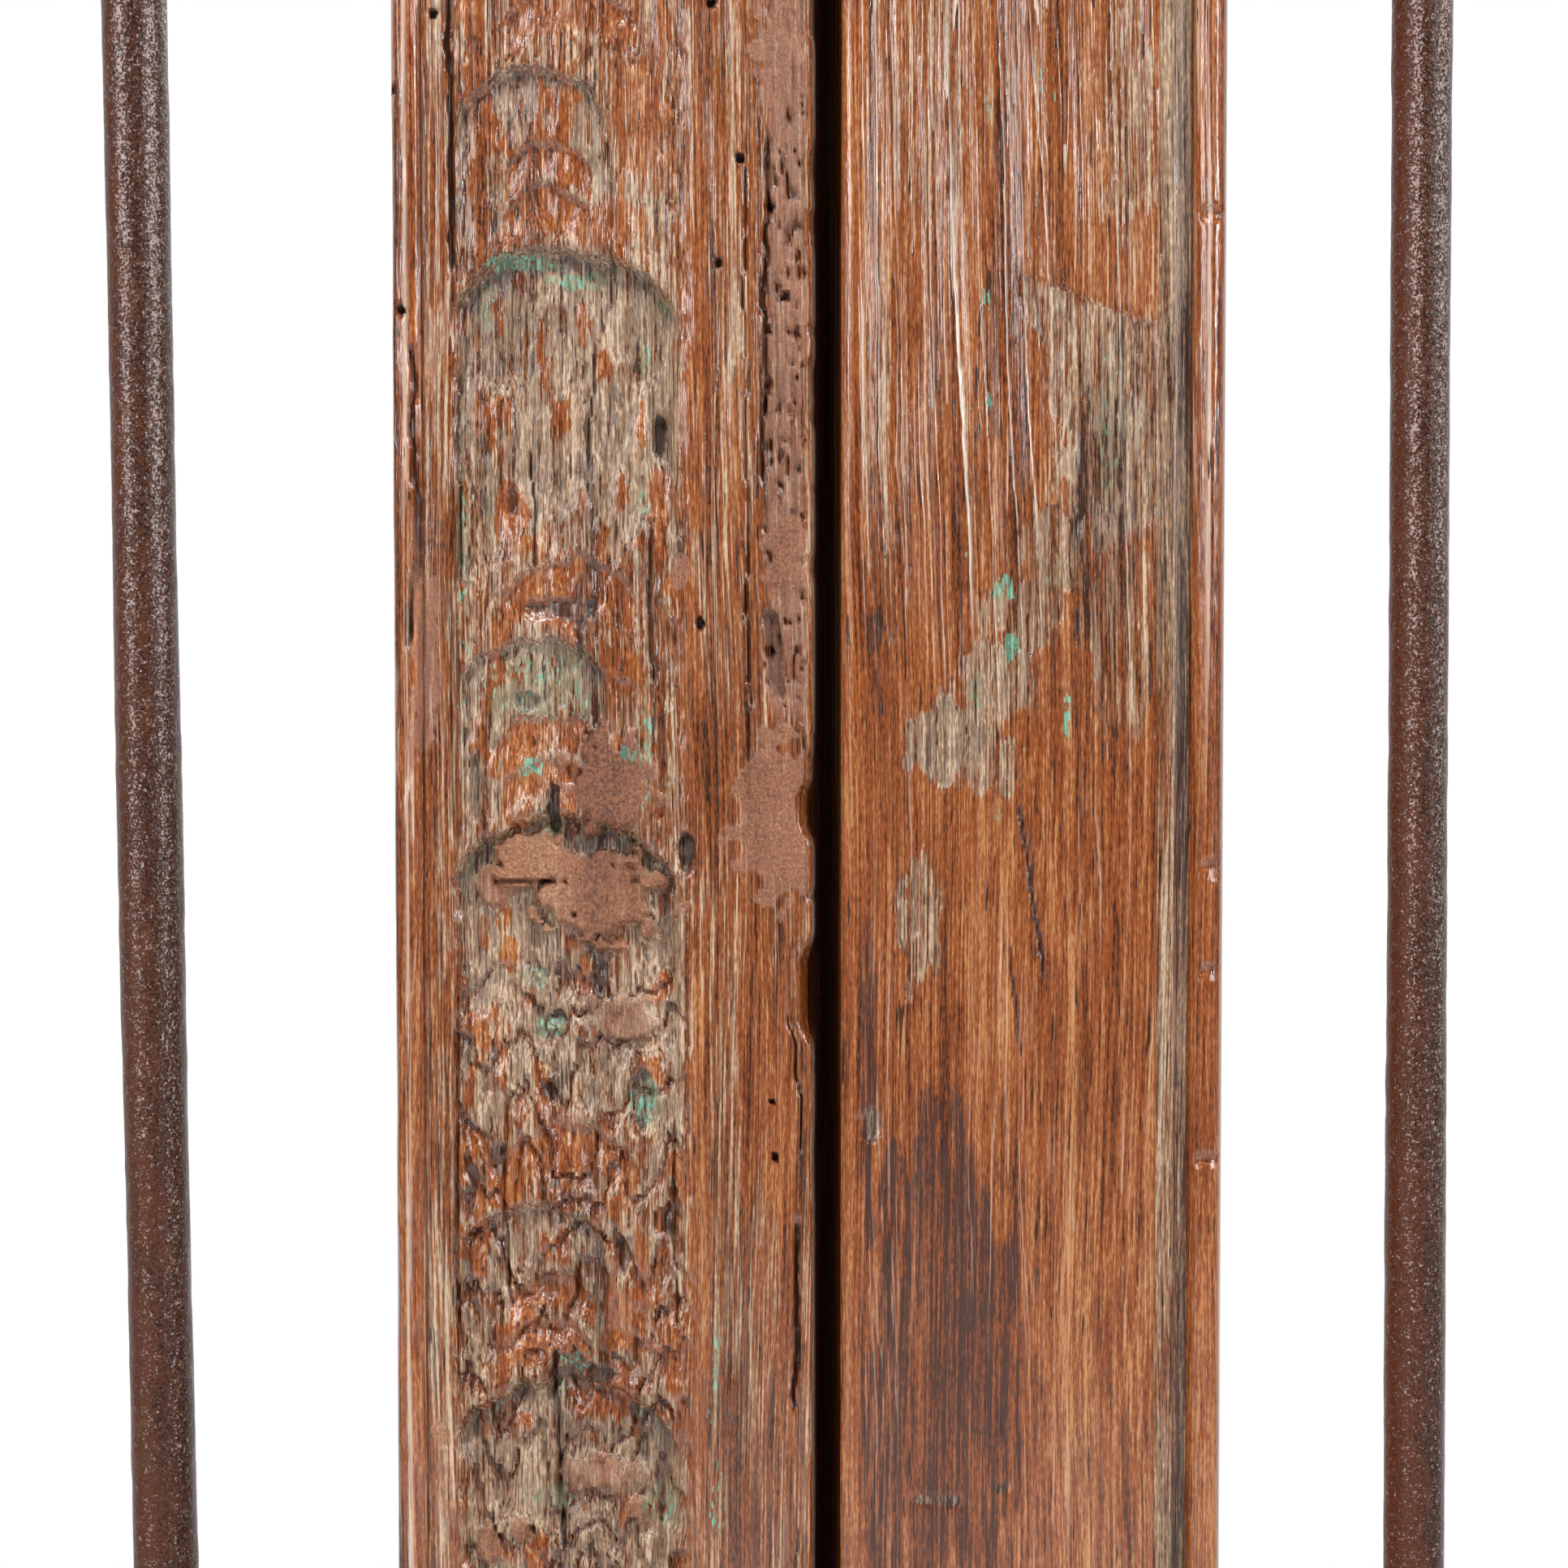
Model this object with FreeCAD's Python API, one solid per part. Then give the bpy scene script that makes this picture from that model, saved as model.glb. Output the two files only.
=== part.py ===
"""Wooden dog gate: two barred leaves that turn on iron pivots between two posts on a timber sill.

Sizes are in millimetres. +X runs along the gate to the right, +Y away from the carved front, +Z up.
The origin is on the underside of the sill, midway between the leaves and in the plane of the pivots.
"""

import FreeCAD, Part
import math
import os

# Leaves: mortised and pegged frames round vertical iron bars
leaf_width = 502.0
leaf_height = 900.0
leaf_thickness = 58.0
meeting_gap = 6.0
carved_stile_width = 91.0
plain_stile_width = 80.5
hinge_stile_width = 75.0
top_rail_height = 90.0
bottom_rail_height = 110.0

# Iron bars, let into blind holes cut with a gouge in the rails, and slightly out of plumb, as set by hand
left_bar_count = 5
right_bar_count = 6
left_bar_diameter = 15.0
right_bar_diameter = 13.4
left_bar_margin = 62.8
right_bar_margin = 42.1
bar_seat_depth = 32.0
bar_seat_sides = 12
bar_fit = 0.15
bar_leans = (0.70, -0.12, 0.30, -0.25, 0.15, -0.30)

# Moulding round each opening: a staff bead on the edge and a sunk band beside it
bead_radius = 3.4
band_width = 7.0
band_depth = 2.4

# Meeting edges: an eased one on the plain stile and a worn one on the carved stile
eased_edge = 2.5
worn_edge_width = 1.6
worn_edge_depth = 5.0

# Sunk carving down the carved stile: large round medallions with smaller ones between them
medallion_radius = 25.0
medallion_depth = 1.8
medallion_from_edge = 35.5
medallion_pitch = 120.0
medallion_centre_height = 473.0
lobe_radius = 16.0
lobe_depth = 1.3
carving_end_margin = 60.0

# Mortise and tenon joints, each held by two riven pegs that have cut their own faceted holes
tenon_length = 52.0
tenon_to_pin = 6.0
tenon_thickness = 18.0
tenon_shoulder = 12.0
mortise_end_room = 2.0
peg_diameter = 9.0
peg_sides = 8
peg_fit = 0.1
peg_spacing = 40.0

# Frame: posts tenoned into a sill
sill_height = 45.0
sill_depth = 105.0
sill_arris = 6.0
post_width = 75.0
post_depth = 75.0
post_rise = 60.0
post_gap = 5.0
post_arris = 4.0
post_cap_slope = 12.0
post_tenon_width = 42.0
post_tenon_depth = 24.0
post_tenon_length = 30.0

# Pivots: iron pins with square tangs in the hinge stile's ends, an eye on the post and a cup in the sill
leaf_ground_gap = 6.0
top_pin_diameter = 16.0
top_pin_tang = 13.0
top_pin_seat = 45.0
top_pin_rise = 21.0
eye_clearance = 4.0
eye_thickness = 10.0
eye_wall = 8.5
eye_shank_width = 14.0
eye_shank_seat = 45.0
foot_pin_diameter = 20.0
foot_pin_tang = 16.0
foot_pin_tip_ease = 2.5
foot_pin_seat = 45.0
cup_depth = 20.0
cup_wall = 5.0
cup_floor = 5.0
cup_plate_length = 70.0
cup_plate_width = 50.0
cup_plate_thickness = 5.0
pin_running_gap = 0.4
pin_rest_gap = 0.3
iron_in_wood_fit = 0.1

# Sizes that follow from the ones above
half_thickness = leaf_thickness / 2
leaf_bottom = sill_height + leaf_ground_gap
leaf_top = leaf_bottom + leaf_height
opening_bottom = leaf_bottom + bottom_rail_height
opening_top = leaf_top - top_rail_height
meeting_edge = meeting_gap / 2
pivot_distance = meeting_edge + leaf_width - half_thickness
hinge_tenon_length = hinge_stile_width - half_thickness - foot_pin_diameter / 2 - tenon_to_pin
post_inner = meeting_edge + leaf_width + post_gap
post_outer = post_inner + post_width
post_top = leaf_top + post_rise
moulding_width = 2 * bead_radius + band_width
UP = FreeCAD.Vector(0, 0, 1)
BACK = FreeCAD.Vector(0, 1, 0)


def point(x, y, z=0.0):
    return FreeCAD.Vector(x, y, z)


def block(x0, x1, y0, y1, z0, z1):
    """A squared timber or bar between two corners, given in any order."""
    low = point(min(x0, x1), min(y0, y1), min(z0, z1))
    return Part.makeBox(abs(x1 - x0), abs(y1 - y0), abs(z1 - z0), low)


def rod(radius, start, end):
    """A round bar or hole from start to end."""
    along = end - start
    return Part.makeCylinder(radius, along.Length, start, along)


def face_of(edges):
    return Part.Face(Part.Wire(Part.__sortEdges__(edges)))


def polygon_prism(corners, travel):
    """A prism on a polygon of corners, pushed along travel."""
    return Part.Face(Part.makePolygon(corners + corners[:1])).extrude(travel)


def faceted_rod(corner_radius, sides, start, end, square_to):
    """A peg or hole with flat sides from start to end. square_to is any direction at a right angle to it."""
    across = square_to.cross((end - start).normalize())
    turns = [2 * math.pi * (side + 0.5) / sides for side in range(sides)]
    corners = [start + (across * math.cos(turn) + square_to * math.sin(turn)) * corner_radius for turn in turns]
    return polygon_prism(corners, end - start)


def mirrored(shape):
    """The same piece on the other side of the middle of the gate."""
    return shape.mirror(point(0, 0, 0), point(1, 0, 0))


class Leaf:
    """The sizes of one leaf, worked out as if it hung on the right, with its pivot at +X."""

    def __init__(self, side, meeting_width, bar_count, bar_margin, bar_diameter, first_lean):
        self.side = side
        self.opening_inner = meeting_edge + meeting_width
        self.opening_outer = meeting_edge + leaf_width - hinge_stile_width
        self.bar_count = bar_count
        self.bar_margin = bar_margin
        self.bar_radius = bar_diameter / 2
        self.first_lean = first_lean

    def bar_ends(self, number):
        """The lowest and highest centre of one bar. Its lean turns it about the opening's middle."""
        share = number / max(self.bar_count - 1, 1)
        reach = self.opening_outer - self.opening_inner - 2 * self.bar_margin
        middle_x = self.opening_inner + self.bar_margin + share * reach
        low = opening_bottom - bar_seat_depth
        high = opening_top + bar_seat_depth
        lean = bar_leans[(number + self.first_lean) % len(bar_leans)]
        sway = math.tan(math.radians(lean)) * (high - low) / 2
        return point(middle_x - sway, 0, low), point(middle_x + sway, 0, high)


left = Leaf("left", carved_stile_width, left_bar_count, left_bar_margin, left_bar_diameter, 0)
right = Leaf("right", plain_stile_width, right_bar_count, right_bar_margin, right_bar_diameter, 1)


def moulding_side(start, end, outward):
    """What the moulding plane takes off along one edge of the opening, mitred at both ends.

    start and end are the opening's corners, and outward points from the opening into the timber.
    """
    front = -half_thickness
    along = (end - start).normalize()
    margin = 1.0

    def at(across, depth):
        return start + outward * across - along * moulding_width + point(0, front + depth)

    top, inner_low = at(bead_radius, 0), at(2 * bead_radius, band_depth)
    bead_middle = at(bead_radius, bead_radius)
    outer_low = at(0, bead_radius)
    bow = math.sqrt(0.5)
    outer_mid = bead_middle + (outward * -bow - BACK * bow) * bead_radius
    inner_mid = bead_middle + (outward * bow - BACK * bow) * bead_radius
    corners = [
        outer_low,
        at(-margin, bead_radius),
        at(-margin, -margin),
        at(moulding_width, -margin),
        at(moulding_width, band_depth),
        inner_low,
    ]
    edges = [Part.LineSegment(a, b).toShape() for a, b in zip(corners, corners[1:])]
    edges.append(Part.Arc(inner_low, inner_mid, top).toShape())
    edges.append(Part.Arc(top, outer_mid, outer_low).toShape())
    strip = face_of(edges).extrude(along * ((end - start).Length + 2 * moulding_width))
    reach = moulding_width + margin
    mitre_front = BACK * (front - 2 * margin)
    mitre = polygon_prism(
        [
            start + (along - outward) * margin + mitre_front,
            end - (along + outward) * margin + mitre_front,
            end + (along + outward) * reach + mitre_front,
            start - (along - outward) * reach + mitre_front,
        ],
        BACK * (bead_radius + 4 * margin),
    )
    return strip.common(mitre)


def opening_moulding(leaf):
    """The moulding planed round the front of a leaf's opening, as the four strips taken off."""
    corners = [
        point(leaf.opening_inner, 0, opening_bottom),
        point(leaf.opening_outer, 0, opening_bottom),
        point(leaf.opening_outer, 0, opening_top),
        point(leaf.opening_inner, 0, opening_top),
    ]
    outwards = [-UP, point(1, 0), UP, point(-1, 0)]
    sides = zip(corners, corners[1:] + corners[:1], outwards)
    return [moulding_side(start, end, outward) for start, end, outward in sides]


def rail_span(top):
    """The lowest and highest point of the top or bottom rail."""
    return (opening_top, leaf_top) if top else (leaf_bottom, opening_bottom)


def tenon_reach(at_meeting):
    """How far a tenon goes into its stile: in the hinge stile it stops short of the pins."""
    return tenon_length if at_meeting else hinge_tenon_length


def tenon(leaf, top, at_meeting, end_room=0.0):
    """The tongue of a rail in one stile, or its mortise when end_room is added to its length."""
    low, high = rail_span(top)
    reach = tenon_reach(at_meeting) + end_room
    shoulder = leaf.opening_inner if at_meeting else leaf.opening_outer
    tip = shoulder - reach if at_meeting else shoulder + reach
    half = tenon_thickness / 2
    return block(shoulder, tip, -half, half, low + tenon_shoulder, high - tenon_shoulder)


def peg_centres(leaf, at_meeting):
    """Where the pegs cross the tenons in one stile, as X and Z."""
    middle = tenon_reach(at_meeting) / 2
    x = leaf.opening_inner - middle if at_meeting else leaf.opening_outer + middle
    return [
        (x, sum(rail_span(top)) / 2 + offset)
        for top in (False, True)
        for offset in (-peg_spacing / 2, peg_spacing / 2)
    ]


def peg_rods(leaf, at_meeting, radius):
    """Faceted pegs, or their holes, through the whole thickness of a leaf at one stile."""
    return [
        faceted_rod(radius, peg_sides, point(x, -half_thickness, z), point(x, half_thickness, z), UP)
        for x, z in peg_centres(leaf, at_meeting)
    ]


def peg_holes(leaf, at_meeting):
    return peg_rods(leaf, at_meeting, peg_diameter / 2 + peg_fit)


def joinery_cuts(leaf, at_meeting):
    """The two mortises and the peg holes of one stile."""
    mortises = [tenon(leaf, top, at_meeting, mortise_end_room) for top in (False, True)]
    return mortises + peg_holes(leaf, at_meeting)


def bar_seats(leaf):
    """The blind holes of every bar, whose flats touch the bar's round but for the fit."""
    corner_radius = (leaf.bar_radius + bar_fit) / math.cos(math.pi / bar_seat_sides)
    return [
        faceted_rod(corner_radius, bar_seat_sides, *leaf.bar_ends(number), BACK) for number in range(leaf.bar_count)
    ]


def rail(leaf, top):
    """A rail with a tenon at each end, blind bar holes, and its share of the moulding."""
    low, high = rail_span(top)
    body = block(leaf.opening_inner, leaf.opening_outer, -half_thickness, half_thickness, low, high)
    body = body.fuse([tenon(leaf, top, True), tenon(leaf, top, False)]).removeSplitter()
    pegs = peg_holes(leaf, True) + peg_holes(leaf, False)
    return body.cut(bar_seats(leaf) + pegs + opening_moulding(leaf))


def meeting_stile_blank(leaf):
    """The squared stile that closes against the other leaf."""
    return block(meeting_edge, leaf.opening_inner, -half_thickness, half_thickness, leaf_bottom, leaf_top)


def plain_meeting_stile(leaf):
    """The uncarved stile, eased along its meeting edge."""
    stile = meeting_stile_blank(leaf).cut(joinery_cuts(leaf, True) + opening_moulding(leaf))
    arris = [
        edge
        for edge in stile.Edges
        if edge.BoundBox.XMax < meeting_edge + 0.01 and edge.BoundBox.YMax < 0.01 - half_thickness
    ]
    return stile.makeFillet(eased_edge, arris)


def sunk_dish(x, z, radius, depth):
    """A shallow round hollow in the front of a stile, cut as a cap of a large ball."""
    ball_radius = (radius**2 + depth**2) / (2 * depth)
    return Part.makeSphere(ball_radius, point(x, depth - ball_radius - half_thickness, z))


def carving(leaf):
    """The worn medallions and the smaller lobes halfway between them."""
    x = leaf.opening_inner - medallion_from_edge
    lowest = leaf_bottom + carving_end_margin + medallion_radius
    highest = leaf_top - carving_end_margin - medallion_radius
    half_pitch = medallion_pitch / 2
    first = math.ceil((lowest - medallion_centre_height) / half_pitch)
    last = math.floor((highest - medallion_centre_height) / half_pitch)
    dishes = []
    for step in range(first, last + 1):
        z = medallion_centre_height + step * half_pitch
        if step % 2 == 0:
            dishes.append(sunk_dish(x, z, medallion_radius, medallion_depth))
        else:
            dishes.append(sunk_dish(x, z, lobe_radius, lobe_depth))
    return dishes


def carved_meeting_stile(leaf):
    """The carved stile, with the front of its meeting edge worn away."""
    front = -half_thickness
    worn = polygon_prism(
        [
            point(meeting_edge, front, leaf_bottom),
            point(meeting_edge + worn_edge_width, front, leaf_bottom),
            point(meeting_edge, front + worn_edge_depth, leaf_bottom),
        ],
        UP * leaf_height,
    )
    stile = meeting_stile_blank(leaf)
    return stile.cut(joinery_cuts(leaf, True) + opening_moulding(leaf) + [worn] + carving(leaf))


def hinge_stile(leaf):
    """The stile on the pivots, half round on its outer edge so that it turns beside the post."""
    front, back = -half_thickness, half_thickness
    inner, axis = leaf.opening_outer, pivot_distance
    low = leaf_bottom
    nose = point(axis + half_thickness, 0, low)
    edges = [
        Part.LineSegment(point(axis, back, low), point(inner, back, low)).toShape(),
        Part.LineSegment(point(inner, back, low), point(inner, front, low)).toShape(),
        Part.LineSegment(point(inner, front, low), point(axis, front, low)).toShape(),
        Part.Arc(point(axis, front, low), nose, point(axis, back, low)).toShape(),
    ]
    stile = face_of(edges).extrude(UP * leaf_height)
    pin_holes = [
        pin_tang(top_pin_tang, leaf_top - top_pin_seat, leaf_top + 1, iron_in_wood_fit),
        pin_tang(foot_pin_tang, leaf_bottom - 1, leaf_bottom + foot_pin_seat, iron_in_wood_fit),
    ]
    return stile.cut(joinery_cuts(leaf, False) + opening_moulding(leaf) + pin_holes)


def pegs(leaf):
    """All the pegs of one leaf, flush with both faces."""
    radius = peg_diameter / 2
    return Part.makeCompound(peg_rods(leaf, True, radius) + peg_rods(leaf, False, radius))


def bar(leaf, number):
    return rod(leaf.bar_radius, *leaf.bar_ends(number))


def pin_tang(width, low, high, grow=0.0):
    """The square tang that keeps a pin from turning in the hinge stile, or its hole when grow is added."""
    half = width / 2 + grow
    return block(pivot_distance - half, pivot_distance + half, -half, half, low, high)


def journal(diameter, low, high):
    """The round part of a pin, which turns."""
    return rod(diameter / 2, point(pivot_distance, 0, low), point(pivot_distance, 0, high))


def top_pin():
    """The pin that stands out of the hinge stile and turns in the post's eye."""
    tang = pin_tang(top_pin_tang, leaf_top - top_pin_seat, leaf_top)
    return tang.fuse(journal(top_pin_diameter, leaf_top, leaf_top + top_pin_rise)).removeSplitter()


def foot_pin():
    """The pin that carries the leaf's weight in the sill's cup, with an eased tip."""
    tip = sill_height - cup_depth + pin_rest_gap
    turning = journal(foot_pin_diameter, tip, leaf_bottom)
    rim = [edge for edge in turning.Edges if edge.BoundBox.ZMax < tip + 0.01]
    turning = turning.makeChamfer(foot_pin_tip_ease, rim)
    return turning.fuse(pin_tang(foot_pin_tang, leaf_bottom, leaf_bottom + foot_pin_seat)).removeSplitter()


def eye_shank(leaf_side_start, grow=0.0):
    """The square shank of the eye, from a given X into the post."""
    half = eye_shank_width / 2 + grow
    low = leaf_top + eye_clearance
    high = low + eye_thickness
    return block(leaf_side_start, post_inner + eye_shank_seat, -half, half, low - grow, high + grow)


def top_eye():
    """The iron eye driven into the post, round the leaf's top pin."""
    low = point(pivot_distance, 0, leaf_top + eye_clearance)
    high = low + UP * eye_thickness
    bore = top_pin_diameter / 2 + pin_running_gap
    ring = rod(bore + eye_wall, low, high)
    return ring.fuse(eye_shank(pivot_distance + bore / 2)).cut(rod(bore, low - UP, high + UP)).removeSplitter()


def cup_solid(grow=0.0):
    """The outer form of the sill's iron cup: a plate with a round well below it."""
    outer = foot_pin_diameter / 2 + pin_running_gap + cup_wall + grow
    floor = sill_height - cup_depth - cup_floor
    well = rod(outer, point(pivot_distance, 0, floor), point(pivot_distance, 0, sill_height))
    plate = block(
        pivot_distance - cup_plate_length / 2,
        pivot_distance + cup_plate_length / 2,
        -cup_plate_width / 2,
        cup_plate_width / 2,
        sill_height - cup_plate_thickness,
        sill_height,
    )
    return well.fuse(plate).removeSplitter()


def floor_cup():
    """The cup let flush into the sill, with the well that the foot pin turns in."""
    well = rod(
        foot_pin_diameter / 2 + pin_running_gap,
        point(pivot_distance, 0, sill_height - cup_depth),
        point(pivot_distance, 0, sill_height + 1),
    )
    return cup_solid().cut(well)


def post_tenon():
    middle = (post_inner + post_outer) / 2
    half_width, half_depth = post_tenon_width / 2, post_tenon_depth / 2
    return block(
        middle - half_width,
        middle + half_width,
        -half_depth,
        half_depth,
        sill_height - post_tenon_length,
        sill_height,
    )


def post_outline(z, inset=0.0):
    """The post's section with eased corners, drawn in by inset."""
    half = post_depth / 2 - inset
    near, far = post_inner + inset, post_outer - inset
    corners = [point(near, post_arris - half, z), point(near + post_arris, -half, z)]
    corners += [point(far - post_arris, -half, z), point(far, post_arris - half, z)]
    corners += [point(far, half - post_arris, z), point(far - post_arris, half, z)]
    corners += [point(near + post_arris, half, z), point(near, half - post_arris, z)]
    return Part.makePolygon(corners + corners[:1])


def post():
    """A post with eased corners and a sloped cap, tenoned into the sill."""
    shoulder = post_top - post_cap_slope
    shaft = Part.Face(post_outline(sill_height)).extrude(UP * (shoulder - sill_height))
    cap = Part.makeLoft([post_outline(shoulder), post_outline(post_top, post_cap_slope)], True, True)
    return shaft.fuse([cap, post_tenon()]).cut(eye_shank(post_inner - 1)).removeSplitter()


def sill():
    """The timber that both posts stand on, with its upper front and back arrises eased."""
    half = sill_depth / 2
    beam = block(-post_outer, post_outer, -half, half, 0, sill_height)
    upper = [
        edge
        for edge in beam.Edges
        if edge.BoundBox.ZMin > sill_height - 0.01 and edge.BoundBox.XLength > post_outer
    ]
    beam = beam.makeChamfer(sill_arris, upper)
    right_cuts = [post_tenon(), cup_solid(iron_in_wood_fit)]
    return beam.cut(right_cuts + [mirrored(cut) for cut in right_cuts])


def leaf_pieces(leaf, meeting_stile):
    """Every piece of one leaf by name, as if it hung on the right."""
    pieces = {
        "meeting_stile": meeting_stile(leaf),
        "hinge_stile": hinge_stile(leaf),
        "top_rail": rail(leaf, True),
        "bottom_rail": rail(leaf, False),
        "joint_pegs": pegs(leaf),
        "top_pin": top_pin(),
        "foot_pin": foot_pin(),
    }
    for number in range(leaf.bar_count):
        pieces[f"bar_{number + 1}"] = bar(leaf, number)
    return pieces


def frame_pieces():
    """The pieces that one side of the frame has, as if it stood on the right."""
    return {"post": post(), "top_eye": top_eye(), "floor_cup": floor_cup()}


def gate():
    """Every piece of the gate by name."""
    pieces = {"sill": sill()}
    sides = [(left, carved_meeting_stile), (right, plain_meeting_stile)]
    for leaf, meeting_stile in sides:
        own = {**frame_pieces(), **leaf_pieces(leaf, meeting_stile)}
        for name, shape in own.items():
            pieces[f"{leaf.side}_{name}"] = mirrored(shape) if leaf is left else shape
    return pieces


os.makedirs("parts", exist_ok=True)
for name, shape in gate().items():
    if not shape.isValid():
        print("not valid:", name)
    shape.exportStep(f"parts/{name}.step")
    print(f"{name:24s} {shape.Volume / 1000:10.1f} cm3  solids {len(shape.Solids)}")
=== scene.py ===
import bpy
import math
import numpy as np
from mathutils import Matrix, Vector


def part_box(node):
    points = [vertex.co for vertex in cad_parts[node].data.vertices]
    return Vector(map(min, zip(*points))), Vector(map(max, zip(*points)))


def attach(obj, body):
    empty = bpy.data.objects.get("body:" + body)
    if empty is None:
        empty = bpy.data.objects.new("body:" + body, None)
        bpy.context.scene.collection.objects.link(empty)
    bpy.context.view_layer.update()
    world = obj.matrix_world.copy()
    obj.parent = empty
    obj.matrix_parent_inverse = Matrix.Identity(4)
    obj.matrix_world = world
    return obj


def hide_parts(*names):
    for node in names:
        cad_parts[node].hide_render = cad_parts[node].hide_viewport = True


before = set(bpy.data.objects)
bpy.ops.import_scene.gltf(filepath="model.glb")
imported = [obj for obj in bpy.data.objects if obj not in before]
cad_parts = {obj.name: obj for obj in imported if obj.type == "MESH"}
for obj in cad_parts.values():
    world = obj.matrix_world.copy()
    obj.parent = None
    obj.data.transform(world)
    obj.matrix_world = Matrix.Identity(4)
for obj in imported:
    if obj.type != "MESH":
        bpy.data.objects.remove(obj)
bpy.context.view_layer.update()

# The sill: one hardwood beam on the ground that ties the posts and carries the pivots.
# It is weathered, scuffed on top and darker at the ground, with its upper arrises worn round.
mm = 0.001
shown_triangles = {}


class Wire:
    """One output in a recipe's node tree. Arithmetic on it adds Math nodes."""

    def __init__(self, recipe, socket):
        self.recipe = recipe
        self.socket = socket

    def math(self, operation, *values):
        return self.recipe.node("ShaderNodeMath", {"operation": operation}, dict(enumerate(values)))

    def __add__(self, other):
        return self.math("ADD", self, other)

    def __sub__(self, other):
        return self.math("SUBTRACT", self, other)

    def __rsub__(self, other):
        return self.math("SUBTRACT", other, self)

    def __mul__(self, other):
        return self.math("MULTIPLY", self, other)

    __radd__ = __add__
    __rmul__ = __mul__


class Recipe:
    """A shader made of nodes that are added one by one."""

    def __init__(self, tree):
        self.tree = tree
        self.tree.nodes.clear()

    def node(self, kind, settings=None, sockets=None, output=0):
        made = self.tree.nodes.new(kind)
        for key, value in (settings or {}).items():
            setattr(made, key, value)
        for key, value in (sockets or {}).items():
            if isinstance(value, Wire):
                self.tree.links.new(value.socket, made.inputs[key])
            else:
                made.inputs[key].default_value = value
        return Wire(self, made.outputs[output]) if made.outputs else None

    def fade(self, value, low, high):
        """From 0 at low to 1 at high, smoothly."""
        sockets = {"Value": value, "From Min": low, "From Max": high}
        return self.node("ShaderNodeMapRange", {"interpolation_type": "SMOOTHSTEP"}, sockets)

    def mix(self, share, first, second):
        """A colour that goes from first to second with share."""
        return self.node("ShaderNodeMix", {"data_type": "RGBA"}, {0: share, 6: first, 7: second}, output=2)

    def stretch(self, place, scale):
        return self.node("ShaderNodeVectorMath", {"operation": "MULTIPLY"}, {0: place, 1: scale})

    def noise(self, place, scale, detail=3.0, roughness=0.6):
        sockets = {"Vector": self.stretch(place, scale), "Scale": 1.0, "Detail": detail, "Roughness": roughness}
        return self.node("ShaderNodeTexNoise", {}, sockets)

    def mask(self, name):
        """A value painted on the mesh's points."""
        return self.node("ShaderNodeAttribute", {"attribute_name": name}, output=2)


class Finish(Recipe):
    """The finish of one surface, as a material."""

    def __init__(self, name):
        self.material = bpy.data.materials.new(name)
        self.material.use_nodes = True
        super().__init__(self.material.node_tree)

    def surface(self, colour, roughness, height, relief, gloss=0.5, painted_slit_shade=None):
        """The shader itself. relief is how deep in metres the height's 0 to 1 goes; the last argument is the share of
        painted shade, a dull dark diffuse in place of the shader.
        """
        normal = self.node("ShaderNodeBump", {}, {"Height": height, "Distance": relief, "Strength": 1.0})
        sockets = {"Base Color": colour, "Roughness": roughness, "Normal": normal, "Specular IOR Level": gloss}
        shader = self.node("ShaderNodeBsdfPrincipled", {}, sockets)
        if painted_slit_shade:
            # Painted shade: the slit's side faces turn to a dull dark diffuse.
            slit_shade_colour = self.mix(0.68, colour, tint(40, 24, 16))
            slit_shade_diffuse = self.node("ShaderNodeBsdfDiffuse", {}, {"Color": slit_shade_colour})
            shader = self.node("ShaderNodeMixShader", {}, {0: painted_slit_shade, 1: shader, 2: slit_shade_diffuse})
        self.node("ShaderNodeOutputMaterial", {}, {"Surface": shader})
        return self.material


def tint(red, green, blue):
    """A colour from its 0 to 255 display values."""
    steps = [value / 255 for value in (red, green, blue)]
    return (*[s / 12.92 if s <= 0.04045 else ((s + 0.055) / 1.055) ** 2.4 for s in steps], 1.0)


class Grain:
    """The patterns of one timber along an axis, from broad clouds down to the finest grit."""

    def __init__(self, finish, along):
        self.finish = finish
        self.along = along
        self.place = finish.node("ShaderNodeTexCoord", {}, output=3)
        sockets = {"Vector": finish.stretch(self.place, self.drawn_out(9.0, 3.0)), "Scale": 1.0, "Detail": 2.0}
        drift = finish.node("ShaderNodeTexNoise", {}, sockets, output=1)
        sway = finish.stretch(drift, self.drawn_out(0.014, 0.001))
        self.bent = finish.node("ShaderNodeVectorMath", {"operation": "ADD"}, {0: self.place, 1: sway})
        self.cloud = self.pattern(55.0, 9.0, 4.0, 0.6)
        self.streak = self.pattern(270.0, 3.2, 3.0, 0.6)
        self.line = self.pattern(1250.0, 8.0, 2.0, 0.6)
        self.hair = self.pattern(2800.0, 50.0, 1.0, 0.6)
        self.grit = self.pattern(2600.0, 520.0, 1.0, 0.6)
        self.pore = finish.fade(self.pattern(1500.0, 26.0, 2.0, 0.5), 0.58, 0.66)
        self.tone = self.streak * 0.8 + self.line * 1.2 + self.hair * 1.1 + self.grit * 1.0 + self.cloud * 0.8 - 1.95
        self.relief = self.streak * 0.6 + self.line * 0.5 + self.hair * 0.22 + self.grit * 0.16 - self.pore * 0.12

    def drawn_out(self, across, along):
        return [along if axis == self.along else across for axis in range(3)]

    def pattern(self, across, along, detail, roughness):
        return self.finish.noise(self.bent, self.drawn_out(across, along), detail, roughness)


def shades(finish, tone, dark, middle, light):
    """One colour's range from its dark to its light lines, as tone goes from 0 to 1."""
    colour = finish.mix(finish.fade(tone, 0.0, 0.5), tint(*dark), tint(*middle))
    return finish.mix(finish.fade(tone, 0.45, 1.0), colour, tint(*light))


oiled = ((56, 24, 6), (142, 74, 31), (202, 146, 98))
dry_film = ((64, 42, 28), (144, 112, 84), (214, 186, 156))


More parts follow.
